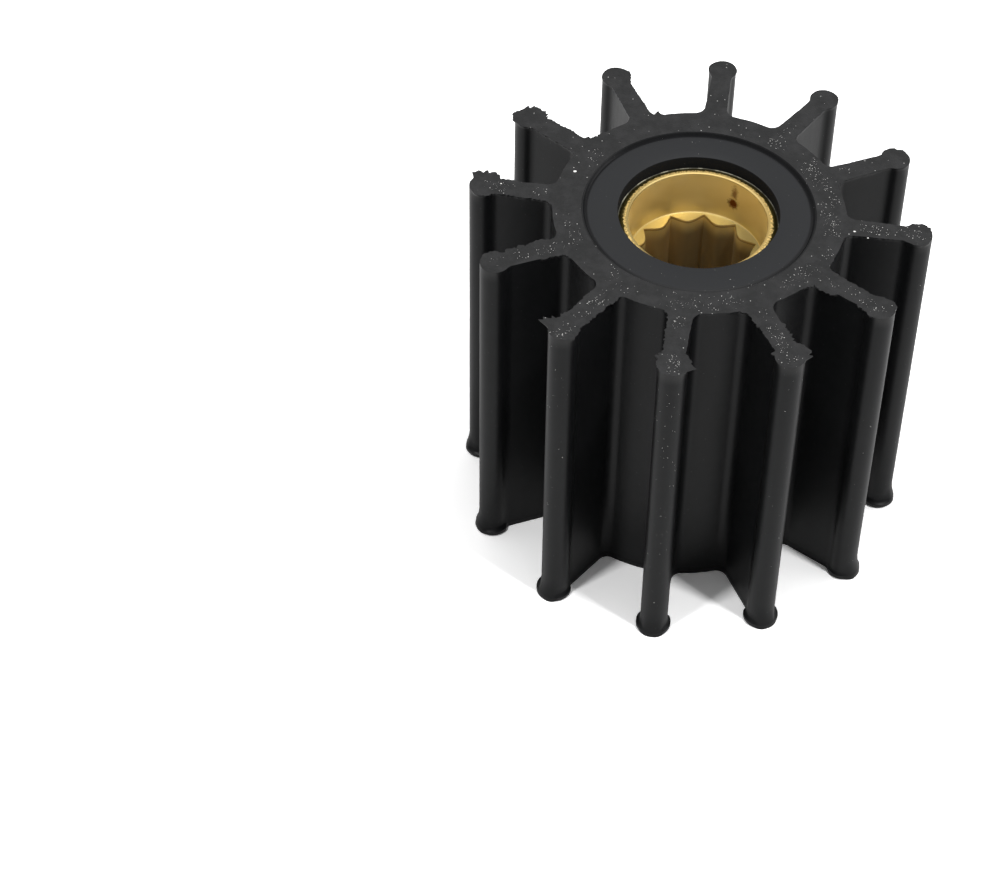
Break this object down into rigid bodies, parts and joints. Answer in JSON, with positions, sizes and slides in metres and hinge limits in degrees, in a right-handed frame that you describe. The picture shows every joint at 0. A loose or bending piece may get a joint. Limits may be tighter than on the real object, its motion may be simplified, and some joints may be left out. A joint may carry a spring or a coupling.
{
  "type": "rubber pump impeller",
  "caption": "Flexible rubber impeller for a water pump, with straight radial vanes that end in round beads and a splined brass hub insert for the shaft.",
  "frame": {"origin": "centre of the lower end face, on the shaft axis", "axes": "+Z along the shaft axis towards the counterbored end of the insert; one vane points along +Y"},
  "size_m": [0.0662, 0.0662, 0.0547],
  "materials": {
    "rubber": "moulded satin on the sides, ground matt with pale dust on the end faces",
    "brass": "turned, slightly tarnished"
  },
  "bodies": {
    "root": {"rubber_body": "rubber", "brass_insert": "brass"}
  },
  "joints": []
}
